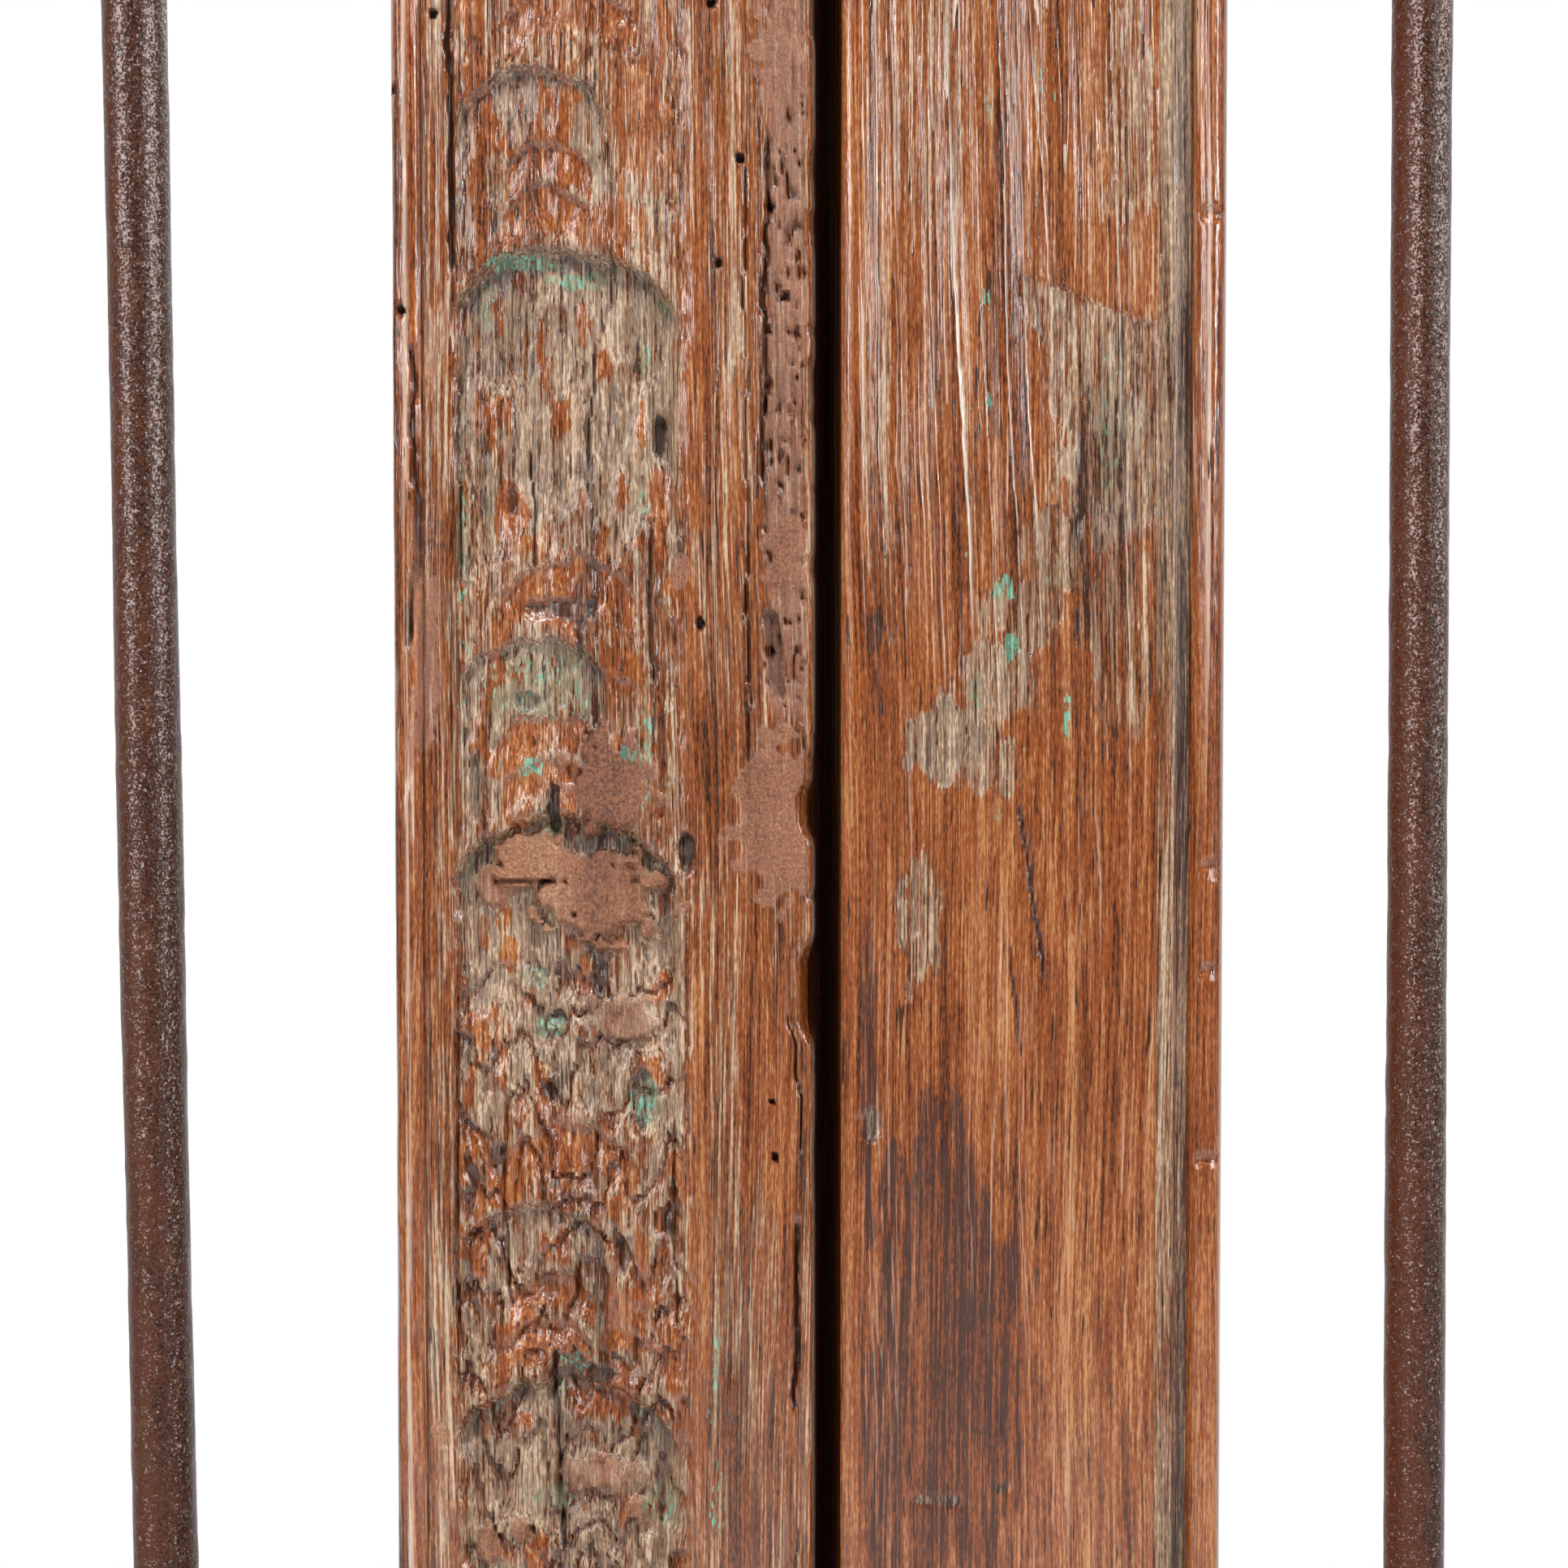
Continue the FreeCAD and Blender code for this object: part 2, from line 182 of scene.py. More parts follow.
def weathered_wood(name, along, shade=0.0, dryness=0.0):
    """Oiled hardwood with a dry film in patches. Shade darkens all of it."""
    finish = Finish(name)
    grain = Grain(finish, along)
    veil = grain.streak * 0.15 + grain.line * 0.35 + grain.hair * 0.3 + grain.cloud * 0.2 + dryness
    film = finish.fade(veil, 0.51, 0.63)
    tone = grain.tone - shade
    colour = finish.mix(film, shades(finish, tone, *oiled), shades(finish, tone, *dry_film))
    colour = finish.mix(grain.pore * 0.6, colour, tint(54, 29, 17))
    return finish.surface(colour, 0.24 + film * 0.25, grain.relief, 0.3 * mm, gloss=0.7)


def patchy(u, v, seed, octaves=4):
    """Smooth random values from about 0 to 1 at points (u, v), with cells one unit wide."""
    size = 64
    total = np.zeros(np.broadcast(u, v).shape)
    for octave in range(octaves):
        lattice = np.random.default_rng(seed * 31 + octave).random((size, size))
        x = u * 2.0**octave
        y = v * 2.0**octave
        i = np.floor(x).astype(int)
        j = np.floor(y).astype(int)
        s = x - i
        t = y - j
        s = s * s * (3 - 2 * s)
        t = t * t * (3 - 2 * t)
        near = lattice[i % size, j % size] * (1 - s) + lattice[(i + 1) % size, j % size] * s
        far = lattice[i % size, (j + 1) % size] * (1 - s) + lattice[(i + 1) % size, (j + 1) % size] * s
        total += (near * (1 - t) + far * t) * 0.5 ** (octave + 1)
    return total / (1 - 0.5**octaves)


def squared_section(low, high, half, radii, front_step, other_step):
    """Points round a squared timber from low to high across and -half to half through.

    They start at the front's low side, and radii are those of the four arrises from there on.
    """
    corners = [np.array(c) for c in ((low, -half), (high, -half), (high, half), (low, half))]
    points = []
    for turn in range(4):
        start, end = corners[turn], corners[(turn + 1) % 4]
        before, after = radii[turn], radii[(turn + 1) % 4]
        length = np.abs(end - start).sum()
        along = (end - start) / length
        inward = np.array((-along[1], along[0]))
        straight = length - before - after
        step = front_step if turn == 0 else other_step
        count = max(1, math.ceil(straight / step)) if straight > 0.01 * mm else 0
        points += [start + along * (before + straight * k / count) for k in range(count + 1)] if count else []
        centre = end - along * after + inward * after
        bends = max(3, math.ceil(after / (1.1 * mm))) if after else 0
        for bend in range(1, bends):
            angle = math.pi / 2 * bend / bends
            points.append(centre + after * (math.sin(angle) * along - math.cos(angle) * inward))
    ring = [points[0]]
    for spot in points[1:]:
        if np.abs(spot - ring[-1]).max() > 0.01 * mm:
            ring.append(spot)
    if np.abs(ring[0] - ring[-1]).max() < 0.01 * mm:
        ring.pop()
    return np.array(ring)


def swept_piece(name, points, body, finish, replaced, masks=None):
    """A closed mesh from rings of points, one ring at each station along the piece."""
    stations, around = points.shape[:2]
    ring = np.arange(around)
    start = (np.arange(stations - 1) * around)[:, None]
    beside = (ring + 1) % around
    quads = np.stack([start + ring, start + beside, start + around + beside, start + around + ring], axis=-1)
    quads = quads.reshape(-1, 4)
    faces = quads.tolist() + [ring[::-1].tolist(), (ring + (stations - 1) * around).tolist()]
    mesh = bpy.data.meshes.new(name)
    mesh.from_pydata(points.reshape(-1, 3), [], faces)
    first = mesh.polygons[0]
    if first.normal.dot(Vector(points[:2].mean(axis=(0, 1))) - first.center) > 0:
        mesh.flip_normals()
    mesh.shade_smooth()
    mesh.set_sharp_from_angle(angle=math.radians(55))
    for mask, values in (masks or {}).items():
        mesh.attributes.new(mask, "FLOAT", "POINT").data.foreach_set("value", values.ravel())
    mesh.materials.append(finish)
    piece = bpy.data.objects.new(name, mesh)
    bpy.context.scene.collection.objects.link(piece)
    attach(piece, body)
    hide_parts(*replaced)
    shown_triangles[name] = 2 * len(quads) + 2 * around
    return piece


def stations_between(low, high, step, dense=()):
    """Places along a timber, closer together inside each (low, high, step) of dense."""
    marks = np.linspace(low, high, max(2, math.ceil((high - low) / step) + 1))
    for start, end, fine in dense:
        marks = marks[(marks < start - fine / 2) | (marks > end + fine / 2)]
        marks = np.sort(np.concatenate([marks, np.arange(start, end, fine)]))
    return marks


def hand_wear(across, along, seed, depth):
    """The slow hollows of a hand-planed and worn face, as how deep they are on average."""
    return depth * patchy(across / 0.045, along / 0.16, seed, 3) * 2


sill_low, sill_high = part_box("sill")
sill_wood = weathered_wood("sill_wood", 0, 0.20, 0.03)
sill_arris_radius = 5.0 * mm
sill_half = (sill_high.y - sill_low.y) / 2
sill_ring = squared_section(
    sill_low.z, sill_high.z, sill_half, (1 * mm, sill_arris_radius, sill_arris_radius, 1 * mm), 4 * mm, 5 * mm
)
sill_marks = stations_between(sill_low.x, sill_high.x, 6 * mm)
height, along = np.meshgrid(sill_ring[:, 0], sill_marks)
through = np.repeat(sill_ring[None, :, 1], len(sill_marks), axis=0)
trodden = np.clip((height - sill_low.z) / (sill_high.z - sill_low.z), 0, 1) ** 2
height = height - trodden * 0.8 * mm * patchy(along / 0.05, through / 0.03, 5)
through = through * (1 - 0.008 * patchy(along / 0.07, height / 0.03, 6))
swept_piece(
    "sill_beam", np.stack([along, through, height], axis=-1), "gate_frame", sill_wood, ["sill"]
)


# The posts: squared timbers tenoned into the sill, with eased corners and a sloped cap.
# They carry the eyes of the upper pivots.
post_wood = weathered_wood("post_wood", 2, 0.10, 0.01)
post_cap_slope = 12.0 * mm
post_corner = 4.0 * mm
for side, sign in (("left", -1), ("right", 1)):
    low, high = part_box(f"{side}_post")
    inner, outer = min(abs(low.x), abs(high.x)), max(abs(low.x), abs(high.x))
    middle = (inner + outer) / 2
    half = (high.y - low.y) / 2
    ring = squared_section(inner, outer, half, (post_corner,) * 4, 3.5 * mm, 3.5 * mm)
    shoulder = high.z - post_cap_slope
    marks = stations_between(sill_high.z, high.z, 6 * mm, [(shoulder, high.z, 3 * mm)])
    across, level = np.meshgrid(ring[:, 0], np.append(marks, high.z))
    through = np.repeat(ring[None, :, 1], len(level), axis=0)
    drawn_in = 1 - np.clip((level - shoulder) / post_cap_slope, 0, 1) * post_cap_slope / half
    wear = 1 - 0.012 * patchy(level / 0.06, np.arctan2(through, across - middle) * 3, 11 if sign > 0 else 12)
    across = middle + (across - middle) * drawn_in * wear
    through = through * drawn_in * wear
    points = np.stack([sign * across, through, level], axis=-1)
    swept_piece(f"{side}_squared_post", points, "gate_frame", post_wood, [f"{side}_post"])


# The pivot irons: an eye driven into each post, a cup let into the sill, and the pins in each leaf.
# They are forged and rusted.
def forged_iron(name, rusted=None):
    """Hammered iron under old wax: dark brown with painted highlights on small facets, and rust in the hollows."""
    finish = Finish(name)
    place = finish.node("ShaderNodeTexCoord", {}, output=3)
    hammer = finish.noise(place, (780.0, 780.0, 700.0), 2.0, 0.6)
    pitting = finish.noise(place, (1500.0, 1500.0, 1350.0), 3.0, 0.7)
    bloom = finish.noise(place, (120.0, 120.0, 40.0), 5.0, 0.75)
    speck = finish.noise(place, (1900.0, 1900.0, 1800.0), 2.0, 0.7)
    rusty = finish.fade(bloom * 0.4 + speck * 0.4 + (rusted or finish.mask("rusted")) * 0.24, 0.47, 0.60)
    colour = finish.mix(finish.fade(pitting, 0.40, 0.60), tint(42, 21, 13), tint(86, 52, 37))
    colour = finish.mix(rusty * 0.5, colour, tint(112, 56, 28))
    colour = finish.mix(finish.fade(speck, 0.53, 0.64) * 0.75, colour, tint(30, 17, 13))
    # Painted highlights: small facets turn pale by noise, most of all along the bars' two painted sheen bands.
    painted_facet_glint = finish.fade(hammer * 0.3 + speck * 0.7 + finish.mask("painted_sheen") * 0.12, 0.57, 0.68)
    colour = finish.mix(painted_facet_glint * 0.8, colour, tint(196, 176, 172))
    return finish.surface(colour, 0.24 + rusty * 0.14, hammer * 0.8 + pitting * 0.4, 0.4 * mm, 0.35)


iron = forged_iron("forged_iron", 0.3)
for side in ("left", "right"):
    for piece in ("top_eye", "floor_cup", "top_pin", "foot_pin"):
        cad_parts[f"{side}_{piece}"].data.materials.clear()
        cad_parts[f"{side}_{piece}"].data.materials.append(iron)


# The rails and hinge stiles: pegged frames of hand-planed hardwood, half round at the pivots.
# A bead and a sunk band run round each opening on the front, mitred in the corners.
bead_radius = 3.4 * mm
band_width = 7.0 * mm
band_depth = 2.4 * mm
moulding_width = 2 * bead_radius + band_width
leaf_half = (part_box("left_hinge_stile")[1].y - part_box("left_hinge_stile")[0].y) / 2
leaf_wood = {along: weathered_wood(f"leaf_wood_{along}", axis) for axis, along in ((0, "across"), (2, "upright"))}


def moulding_depth(off):
    """How deep the moulding lies at a distance off the opening's edge."""
    off = np.asarray(off)
    round_part = np.clip(off, 0, 2 * bead_radius) - bead_radius
    bead = bead_radius - np.sqrt(bead_radius**2 - round_part**2 + 1e-12)
    inside = (off >= 0) & (off < moulding_width)
    return np.where(inside, np.where(off < 2 * bead_radius, bead, band_depth), 0.0)


class Opening:
    """The barred opening of one leaf, measured as if the leaf hung on the right."""

    def __init__(self, side):
        stiles = [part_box(f"{side}_{piece}_stile") for piece in ("meeting", "hinge")]
        self.inner = max(abs(stiles[0][0].x), abs(stiles[0][1].x))
        self.outer = min(abs(stiles[1][0].x), abs(stiles[1][1].x))
        self.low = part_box(f"{side}_bottom_rail")[1].z
        self.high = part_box(f"{side}_top_rail")[0].z

    def off(self, across, level):
        """The distance off the nearer edge, so that equal distances meet on the mitres."""
        beside = np.maximum(self.inner - across, across - self.outer)
        beyond = np.maximum(self.low - level, level - self.high)
        return np.maximum(np.maximum(beside, beyond), 0)

    def mitre_marks(self, fine):
        """Where an upright needs closer stations, so that the mitres come out clean."""
        return [
            (self.low - moulding_width - fine, self.low + fine, fine),
            (self.high - fine, self.high + moulding_width + fine, fine),
        ]


openings = {side: Opening(side) for side in ("left", "right")}


back_wear = 0.2 * mm


def grid_of(ring, marks):
    """The across, through and along of every point of a ring at every mark, worn below the pegs at the back."""
    across, along = np.meshgrid(ring[:, 0], marks)
    through = np.repeat(ring[None, :, 1], len(marks), axis=0)
    through = np.minimum(through, leaf_half - back_wear)
    return across, through, along


def faces_front(through):
    return through < -leaf_half + 0.01 * mm


for side, sign in (("left", -1), ("right", 1)):
    opening = openings[side]
    low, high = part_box(f"{side}_hinge_stile")
    outer = max(abs(low.x), abs(high.x))
    ring = squared_section(
        opening.outer, outer, leaf_half, (0, leaf_half, leaf_half, 1.5 * mm), 1.2 * mm, 5 * mm
    )
    marks = stations_between(low.z, high.z, 5 * mm, opening.mitre_marks(0.9 * mm))
    across, through, level = grid_of(ring, marks)
    front = faces_front(through)
    sunk = moulding_depth(opening.off(across, level)) + hand_wear(across, level, 21, 0.25 * mm)
    through = np.where(front, through + sunk, through)
    points = np.stack([sign * across, through, level], axis=-1)
    swept_piece(
        f"{side}_pivot_stile", points, f"{side}_leaf", leaf_wood["upright"], [f"{side}_hinge_stile"]
    )
    for rail in ("top", "bottom"):
        low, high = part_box(f"{side}_{rail}_rail")
        upper, lower = (0, 1.5 * mm) if rail == "top" else (1.5 * mm, 0)
        ring = squared_section(low.z, high.z, leaf_half, (upper, lower, 1.5 * mm, 1.5 * mm), 1.2 * mm, 5 * mm)
        marks = stations_between(opening.inner, opening.outer, 4 * mm)
        level, through, across = grid_of(ring, marks)
        front = faces_front(through)
        sunk = moulding_depth(opening.off(across, level)) + hand_wear(level, across, 23, 0.25 * mm)
        through = np.where(front, through + sunk, through)
        points = np.stack([sign * across, through, level], axis=-1)
        swept_piece(
            f"{side}_{rail}_cross_rail",
            points,
            f"{side}_leaf",
            leaf_wood["across"],
            [f"{side}_{rail}_rail"],
        )


# The pegs: riven hardwood, driven through the mortises and cut off flush with both faces.
# Their end grain has taken up oil and dirt, so they are darker than the stiles.
def end_grain(name):
    finish = Finish(name)
    place = finish.node("ShaderNodeTexCoord", {}, output=3)
    pores = finish.noise(place, (1700.0, 300.0, 1700.0), 3.0, 0.7)
    stain = finish.noise(place, (160.0, 160.0, 160.0), 4.0, 0.6)
    colour = finish.mix(finish.fade(pores, 0.38, 0.62), tint(52, 28, 17), tint(112, 66, 42))
    colour = finish.mix(finish.fade(stain, 0.45, 0.65) * 0.5, colour, tint(62, 42, 31))
    return finish.surface(colour, 0.45 + pores * 0.2, pores, 0.5 * mm)


peg_wood = end_grain("peg_end_grain")
for side in ("left", "right"):
    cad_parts[f"{side}_joint_pegs"].data.materials.clear()
    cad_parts[f"{side}_joint_pegs"].data.materials.append(peg_wood)


# The bars: round iron, forged by hand, let into blind holes in the rails.
# They are a little uneven along their length, hammered all over, and rustier low down and on the left.
def bar_axis(node):
    """The lowest and highest centre of a bar, and its radius."""
    spots = np.array([vertex.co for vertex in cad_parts[node].data.vertices])
    radius = (spots[:, 1].max() - spots[:, 1].min()) / 2
    ends = []
    for level in (spots[:, 2].min(), spots[:, 2].max()):
        rim = spots[np.abs(spots[:, 2] - level) < 1.5 * mm]
        ends.append((rim.min(axis=0) + rim.max(axis=0)) / 2)
    return ends[0], ends[1], radius


def fade(value, low, high):
    """From 0 at low to 1 at high, smoothly."""
    share = np.clip((value - low) / (high - low), 0, 1)
    return share * share * (3 - 2 * share)


bar_iron = forged_iron("bar_iron")
bars = sorted(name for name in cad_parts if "_bar_" in name)
for number, node in enumerate(bars):
    side = node.split("_")[0]
    first, last, radius = bar_axis(node)
    close = node.endswith("_bar_1")
    around = 44 if close else 30
    marks = stations_between(0.0, 1.0, 0.0022 if close else 0.0036)
    turn, share = np.meshgrid(np.linspace(0, 2 * math.pi, around, endpoint=False), marks)
    length = np.linalg.norm(last - first)
    face = patchy(turn / math.tau * 8, share * length / 0.006, 40 + number, 3)
    swell = patchy(np.zeros_like(share), share * length / 0.09, 60 + number, 2)
    thick = radius * (0.965 + 0.05 * (face - 0.5) + 0.05 * (swell - 0.5))
    bow = (patchy(share * 2.2, np.zeros_like(share), 80 + number, 2) - 0.5) * 1.2 * mm
    centre = first + (last - first) * share[..., None]
    points = centre + np.stack([thick * np.cos(turn) + bow, thick * np.sin(turn), 0 * turn], axis=-1)
    rusted = np.clip(0.55 - 0.55 * np.cos(turn) + 0.7 * (0.5 - share), 0, 1)
    # Painted highlights: two upright bands on the front of each bar, fading towards the bottom.
    painted_glint_lines = [np.exp(-(((np.cos(turn) - at) / 0.22) ** 2)) for at in (-0.2, 0.7)]
    painted_sheen = sum(painted_glint_lines) * (np.sin(turn) < 0) * fade(share, 0.1, 0.75)
    name = node.replace("_bar_", "_iron_rod_")
    masks = {"rusted": rusted, "painted_sheen": painted_sheen}
    swept_piece(name, points, f"{side}_leaf", bar_iron, [node], masks)


# The plain meeting stile of the right leaf: oiled hardwood with raised grain.
# It has one worn-through pale patch, flecks of old blue-green paint, and the opening's bead and band.
def spots(across, level, marks, ragged, seed, cell=(3.0, 7.0)):
    """Ragged soft spots, each given as across, height, half width, half height and strength, in mm."""
    edge = (patchy(across / cell[0], level / cell[1], seed, 4) - 0.5) * ragged
    mask = np.zeros_like(across)
    for centre, height, width, tall, strength in marks:
        reach = np.hypot((across - centre) / width, (level - height) / tall) + edge
        mask = np.maximum(mask, strength * fade(1.15 - reach, 0.0, 0.35))
    return mask


def lines(across, level, marks, waver, seed):
    """Thin upright cracks, each given as its lower and upper end, half width and strength, in mm."""
    mask = np.zeros_like(across)
    drift = (patchy(level / 9.0, np.zeros_like(level), seed, 3) - 0.5) * waver
    for start, low, end, high, width, strength in marks:
        share = np.clip((level - low) / (high - low), 0, 1)
        centre = start + (end - start) * share + drift
        taper = fade(share, 0, 0.08) * fade(1 - share, 0, 0.08)
        mask = np.maximum(mask, strength * taper * fade(width * 1.6 - np.abs(across - centre), 0, width))
    return mask


def worn_wood(name):
    """Oiled hardwood with what the mesh paints on it: bare, dirty, paint-flecked, rubbed, ridged and filled places,
    painted shade in recesses and in the slit, and painted highlights on ridges and bead crests.
    """
    finish = Finish(name)
    grain = Grain(finish, 2)
    paint = finish.mask("paint")
    rubbed = finish.mask("rubbed")
    filler = finish.mask("filler")
    ridges_and_painted_glints = finish.mask("ridges_and_painted_glints")
    phase = finish.mask("phase")
    ring = phase.math("FRACT", phase)
    fine_phase = phase * 2.7 + grain.streak * 3.0
    fine_ring = fine_phase.math("FRACT", fine_phase)
    late = finish.fade(ring, 0.62, 0.94) * 0.17 + finish.fade(fine_ring, 0.60, 0.94) * 0.10
    early = (1 - finish.fade(ring, 0.05, 0.60)) * 0.075 + (1 - finish.fade(fine_ring, 0.1, 0.7)) * 0.05 - 0.055
    bare = finish.mask("bare")
    veil = grain.streak * 0.15 + grain.line * 0.35 + grain.hair * 0.3 + grain.cloud * 0.2 + bare * 0.12 - rubbed * 0.13
    film = finish.fade(veil + early * ridges_and_painted_glints, 0.51, 0.61)
    # Darkened by dirt spots and by painted shade in the groove, cracks, pits, holes and under the carved edges.
    tone = grain.tone - late * ridges_and_painted_glints - finish.mask("dirt_and_painted_shade") * 0.7 + rubbed * 0.03
    oil = finish.mix(rubbed * 0.8, shades(finish, tone, *oiled), shades(finish, tone, *polished))
    greening = finish.mix(finish.fade(paint, 0.05, 0.7) * 0.5, shades(finish, tone, *dry_film), tint(134, 138, 104))
    colour = finish.mix(film, oil, greening)
    # Pale lines along the ring edges and bead crests: partly paler worn arrises, partly painted highlight standing for
    # their glints.
    painted_ring_highlight = (1 - finish.fade(ring, 0.03, 0.08)) * finish.fade(ring, 0.0, 0.02) * finish.fade(grain.line, 0.36, 0.50)
    painted_fine_highlight = (1 - finish.fade(fine_ring, 0.08, 0.20)) * finish.fade(grain.cloud * 0.5 + grain.line * 0.5, 0.46, 0.56)
    painted_arris_highlight = ridges_and_painted_glints * (painted_ring_highlight * 0.75 + painted_fine_highlight * 0.5)
    colour = finish.mix(painted_arris_highlight.math("MINIMUM", painted_arris_highlight, 0.8), colour, tint(232, 214, 198))
    split = finish.fade(grain.pattern(1100.0, 70.0, 1.0, 0.5) + bare * 0.02, 0.71, 0.75)
    open_grain = grain.pore.math("MAXIMUM", grain.pore * 0.55 * (1 - rubbed * 0.5), split * 0.9)
    colour = finish.mix(open_grain, colour, tint(50, 28, 18))
    sand = finish.noise(grain.place, (1500.0, 1500.0, 1300.0), 4.0, 0.8)
    colour = finish.mix(filler * 0.9, colour, shades(finish, sand * 2.4 + grain.cloud * 1.2 - 1.3, (92, 42, 18), (174, 105, 63), (224, 170, 130)))
    speck = finish.noise(grain.bent, (1500.0, 1500.0, 330.0), 2.0, 0.6)
    flake = finish.fade(paint * 0.5 + speck, 0.80, 0.87)
    colour = finish.mix(flake * 0.9, colour, finish.mix(finish.fade(grain.line, 0.42, 0.6), tint(76, 134, 110), tint(140, 194, 166)))
    roughness = 0.21 + film * 0.2 + filler * 0.35 + flake * 0.15 + finish.mask("dirt_and_painted_shade") * 0.25
    saw = (ring - finish.fade(ring, 0.0, 0.10)) * 0.32 + (fine_ring - finish.fade(fine_ring, 0.0, 0.2)) * 0.12
    raised = grain.relief * (1 - filler * 0.8) * (1 - rubbed * 0.35) + sand * filler * 3.0 + saw * ridges_and_painted_glints * 2.4
    return finish.surface(colour, roughness, raised - split * 1.2, 0.3 * mm, gloss=1.0, painted_slit_shade=finish.mask("slit"))


polished = ((76, 31, 8), (152, 77, 30), (198, 133, 80))
photo_window = (0.322, 0.678)
meeting_edge = min(abs(value.x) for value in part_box("right_meeting_stile"))
eased_edge = 5.0 * mm
eased_flatness = 0.4
# The slit sides are painted dark from these depths behind the front: painted shade in the gap between the leaves.
slit_dark_from = 1.2 * mm
slit_dark_to = 4.5 * mm
opening = openings["right"]
low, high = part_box("right_meeting_stile")
ring = squared_section(
    meeting_edge, opening.inner, leaf_half, (eased_edge, 0, 1.5 * mm, 0.3 * mm), 0.56 * mm, 7 * mm
)
eased = (ring[:, 0] < meeting_edge + eased_edge) & (ring[:, 1] < -leaf_half + eased_edge)
ring[eased, 1] = -leaf_half + (ring[eased, 1] + leaf_half) * eased_flatness
marks = stations_between(low.z, high.z, 6 * mm, [(*photo_window, 0.95 * mm)] + opening.mitre_marks(0.9 * mm))
across, through, level = grid_of(ring, marks)
front = faces_front(through)
a = across / mm
z = level / mm
plain_bare = [
    (60, 566, 11, 18, 0.75), (48, 549, 8, 9, 0.75), (42, 536, 9, 8, 0.75),
    (36, 522, 9, 9, 0.8), (25, 509, 8, 9, 1.2), (33, 505, 7, 8, 0.7), (20, 470, 5, 13, 0.7),
    (10, 427, 2.5, 3, 0.9), (24, 347, 6, 1.2, 0.7), (38, 350, 2, 1.5, 0.7), (63, 640, 6, 26, 0.45),
    (22, 640, 8, 26, 0.35), (6, 566, 5, 20, 0.35), (62, 530, 8, 24, 0.45), (12, 560, 5, 30, 0.3),
]
plain_grime = [
    (26, 375, 17, 52, 0.55), (31, 388, 5, 4, 0.8), (11, 533, 1.6, 4, 0.4), (5, 386, 1.5, 7, 0.9),
    (11, 518, 1.2, 6, 0.35), (60, 560, 8, 30, 0.25), (8, 440, 4, 30, 0.35), (14, 360, 9, 34, 0.35),
]
plain_paint = [
    (37.5, 541, 3.2, 3.0, 0.7), (39, 529, 1.8, 3.2, 0.85), (51, 515, 0.9, 6.0, 0.75), (36, 494, 2.0, 1.2, 0.6),
    (41, 508, 2.4, 2.0, 0.45), (34.5, 643, 0.9, 5.0, 0.6), (34, 603, 1.0, 4.0, 0.6), (34.5, 581, 1.0, 3.4, 0.7),
    (44, 622, 0.7, 4.0, 0.5), (32, 520, 1.0, 5.0, 0.45), (48, 545, 3.4, 4.0, 0.4), (12, 515, 1.0, 7.0, 0.35),
    (46, 650, 3.0, 14.0, 0.35), (60, 575, 3.0, 18.0, 0.35), (30, 560, 2.0, 22.0, 0.3),
]
plain_rubbed = [
    (41.5, 400, 3.6, 92, 0.9), (51, 370, 2.6, 75, 0.7), (63, 380, 3.2, 80, 0.6), (33, 440, 2.0, 50, 0.5),
    (30, 600, 3.0, 60, 0.45), (40, 570, 2.0, 30, 0.4), (72, 430, 4.0, 90, 0.4),
]
plain_cracks = [
    (46.8, 457, 40.6, 497, 0.30, 0.9), (41.8, 441, 38.8, 467, 0.28, 0.7), (44.5, 462, 43.0, 492, 0.22, 0.5),
]
plain_knocks = [(81, 619, 3, 1.4, 1), (82, 483, 3, 1.6, 1), (81, 461, 2.5, 1.2, 1), (81, 421, 3, 1, 1)]
plain_lean = 6.0 * fade(z, 480, 720) + 3.0 * (patchy(a / 30, z / 60, 110, 4) - 0.5)
u = a + plain_lean
top_raised = 0.3 + 0.7 * fade(z, 500, 620)
ridge_phase = u / 4.6 + 1.9 * patchy(u / 7, z / 170, 104, 2) + 0.05 * patchy(u / 3, z / 4, 115, 2)
ridge = ridge_phase - np.floor(ridge_phase)
ridge_depth = 0.45 * (1 - ridge) ** 0.8 * fade(ridge, 0, 0.1) * top_raised * (0.4 + 1.2 * patchy(u / 7, z / 60, 111, 2))
off = opening.off(across, level)
in_band = (off > 2 * bead_radius) & (off < moulding_width)
in_bead = off <= 2 * bead_radius
bare = spots(a, z, plain_bare, 1.1, 101, (2.2, 7.0))
patch_side = 40.5 + 4.5 * fade(602 - z, 0, 12) + 14.0 * fade(586 - z, 0, 34) + 5.0 * (patchy(z / 5, a / 6, 116, 4) - 0.5)
patch_top = 607.5 - 0.36 * (a - 40) + 3.5 * (patchy(a / 5, z / 9, 117, 4) - 0.5)
patch = fade(a - patch_side, 0, 1.5) * fade(patch_top - z, 0, 1.5) * fade(z - 540, 0, 30)
patch = patch * (0.55 + 0.9 * (patchy(a / 2.2, z / 9, 118, 4) - 0.35))
bare = np.maximum(bare, patch)
